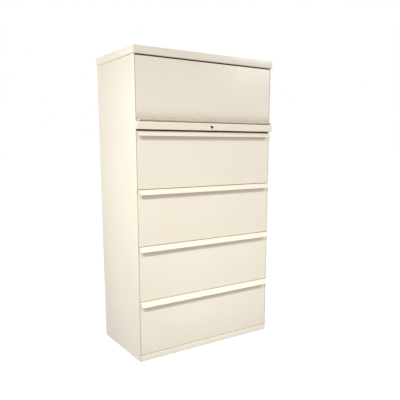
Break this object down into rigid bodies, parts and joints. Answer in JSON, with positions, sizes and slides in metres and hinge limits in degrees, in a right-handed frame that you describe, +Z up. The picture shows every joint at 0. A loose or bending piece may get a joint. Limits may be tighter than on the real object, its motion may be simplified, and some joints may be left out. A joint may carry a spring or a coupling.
{
  "type": "lateral filing cabinet",
  "caption": "Tall steel lateral filing cabinet: a lift-up door that slides away over a lock rail and equal full-width drawers with sloping lip pulls.",
  "frame": {"origin": "on the floor, under the middle of the bounding box", "axes": "+Z up, the fronts face -Y, +X to the right seen from the front"},
  "size_m": [0.9264, 0.516, 1.701],
  "materials": {
    "cream_paint": "satin baked enamel, cream",
    "inner_paint": "satin baked enamel, cream, inside surfaces",
    "zinc_steel": "bright zinc plated steel",
    "lock_chrome": "polished",
    "lock_black": "black",
    "black_glide": "matt black",
    "nylon": "natural nylon"
  },
  "bodies": {
    "case": {"side_left": "cream_paint", "side_right": "cream_paint", "back_panel": "cream_paint", "top_cap": "cream_paint", "top_panel": "inner_paint", "bottom_panel": "inner_paint", "compartment_floor": "inner_paint", "base_rail": "cream_paint", "lock_rail": "cream_paint", "lock_barrel": "lock_chrome", "upright_front_left": "zinc_steel", "upright_front_right": "zinc_steel", "upright_rear_left": "zinc_steel", "upright_rear_right": "zinc_steel", "glide_front_left": "black_glide", "glide_front_right": "black_glide", "glide_rear_left": "black_glide", "glide_rear_right": "black_glide", "door_track_left": "zinc_steel", "door_track_right": "zinc_steel", "drawer_1_slide_fixed_left": "zinc_steel", "drawer_1_slide_fixed_right": "zinc_steel", "drawer_2_slide_fixed_left": "zinc_steel", "drawer_2_slide_fixed_right": "zinc_steel", "drawer_3_slide_fixed_left": "zinc_steel", "drawer_3_slide_fixed_right": "zinc_steel", "drawer_4_slide_fixed_left": "zinc_steel", "drawer_4_slide_fixed_right": "zinc_steel"},
    "lock_core": {"lock_core": "lock_black", "lock_cam": "zinc_steel"},
    "lock_link": {"lock_link": "zinc_steel"},
    "lock_bar": {"lock_bar": "zinc_steel"},
    "door_carriage": {"door_carriage": "zinc_steel", "door_runner_left": "nylon", "door_runner_right": "nylon"},
    "door": {"door_panel": "cream_paint"},
    "drawer_1": {"drawer_1_front": "cream_paint", "drawer_1_tray": "inner_paint", "drawer_1_hang_rail_front": "zinc_steel", "drawer_1_hang_rail_rear": "zinc_steel"},
    "drawer_1_slides": {"drawer_1_slide_middle_left": "zinc_steel", "drawer_1_slide_middle_right": "zinc_steel"},
    "drawer_2": {"drawer_2_front": "cream_paint", "drawer_2_tray": "inner_paint", "drawer_2_hang_rail_front": "zinc_steel", "drawer_2_hang_rail_rear": "zinc_steel"},
    "drawer_2_slides": {"drawer_2_slide_middle_left": "zinc_steel", "drawer_2_slide_middle_right": "zinc_steel"},
    "drawer_3": {"drawer_3_front": "cream_paint", "drawer_3_tray": "inner_paint", "drawer_3_hang_rail_front": "zinc_steel", "drawer_3_hang_rail_rear": "zinc_steel"},
    "drawer_3_slides": {"drawer_3_slide_middle_left": "zinc_steel", "drawer_3_slide_middle_right": "zinc_steel"},
    "drawer_4": {"drawer_4_front": "cream_paint", "drawer_4_tray": "inner_paint", "drawer_4_hang_rail_front": "zinc_steel", "drawer_4_hang_rail_rear": "zinc_steel"},
    "drawer_4_slides": {"drawer_4_slide_middle_left": "zinc_steel", "drawer_4_slide_middle_right": "zinc_steel"}
  },
  "joints": [
    {"name": "lock_turn", "type": "hinge", "parent": "case", "child": "lock_core", "pos_m": [0.009, -0.231, 1.3045], "axis": [0, 1, 0], "range_deg": [0, 90]},
    {"name": "lock_link_slide", "type": "slide", "parent": "case", "child": "lock_link", "axis": [1, 0, 0], "range_m": [0, 0.01414]},
    {"name": "lock_bar_slide", "type": "slide", "parent": "case", "child": "lock_bar", "axis": [0, 0, 1], "range_m": [0, 0.01414]},
    {"name": "door_recede", "type": "slide", "parent": "case", "child": "door_carriage", "axis": [0, 1, 0], "range_m": [0, 0.2801]},
    {"name": "door_lift", "type": "hinge", "parent": "door_carriage", "child": "door", "pos_m": [0, -0.219, 1.64], "axis": [-1, 0, 0], "range_deg": [0, 90]},
    {"name": "drawer_1_open", "type": "slide", "parent": "case", "child": "drawer_1", "axis": [0, -1, 0], "range_m": [0, 0.4]},
    {"name": "drawer_1_middle_slide", "type": "slide", "parent": "case", "child": "drawer_1_slides", "axis": [0, -1, 0], "range_m": [0, 0.2]},
    {"name": "drawer_2_open", "type": "slide", "parent": "case", "child": "drawer_2", "axis": [0, -1, 0], "range_m": [0, 0.4]},
    {"name": "drawer_2_middle_slide", "type": "slide", "parent": "case", "child": "drawer_2_slides", "axis": [0, -1, 0], "range_m": [0, 0.2]},
    {"name": "drawer_3_open", "type": "slide", "parent": "case", "child": "drawer_3", "axis": [0, -1, 0], "range_m": [0, 0.4]},
    {"name": "drawer_3_middle_slide", "type": "slide", "parent": "case", "child": "drawer_3_slides", "axis": [0, -1, 0], "range_m": [0, 0.2]},
    {"name": "drawer_4_open", "type": "slide", "parent": "case", "child": "drawer_4", "axis": [0, -1, 0], "range_m": [0, 0.4]},
    {"name": "drawer_4_middle_slide", "type": "slide", "parent": "case", "child": "drawer_4_slides", "axis": [0, -1, 0], "range_m": [0, 0.2]}
  ],
  "couplings": [
    {"joint": "lock_turn", "follows": "lock_bar_slide", "rad_per_m": 111.09},
    {"joint": "lock_link_slide", "follows": "lock_bar_slide", "ratio": 1},
    {"joint": "door_recede", "follows": "door_lift", "m_per_rad": 0.17825},
    {"joint": "drawer_1_middle_slide", "follows": "drawer_1_open", "ratio": 0.5},
    {"joint": "drawer_2_middle_slide", "follows": "drawer_2_open", "ratio": 0.5},
    {"joint": "drawer_3_middle_slide", "follows": "drawer_3_open", "ratio": 0.5},
    {"joint": "drawer_4_middle_slide", "follows": "drawer_4_open", "ratio": 0.5}
  ]
}
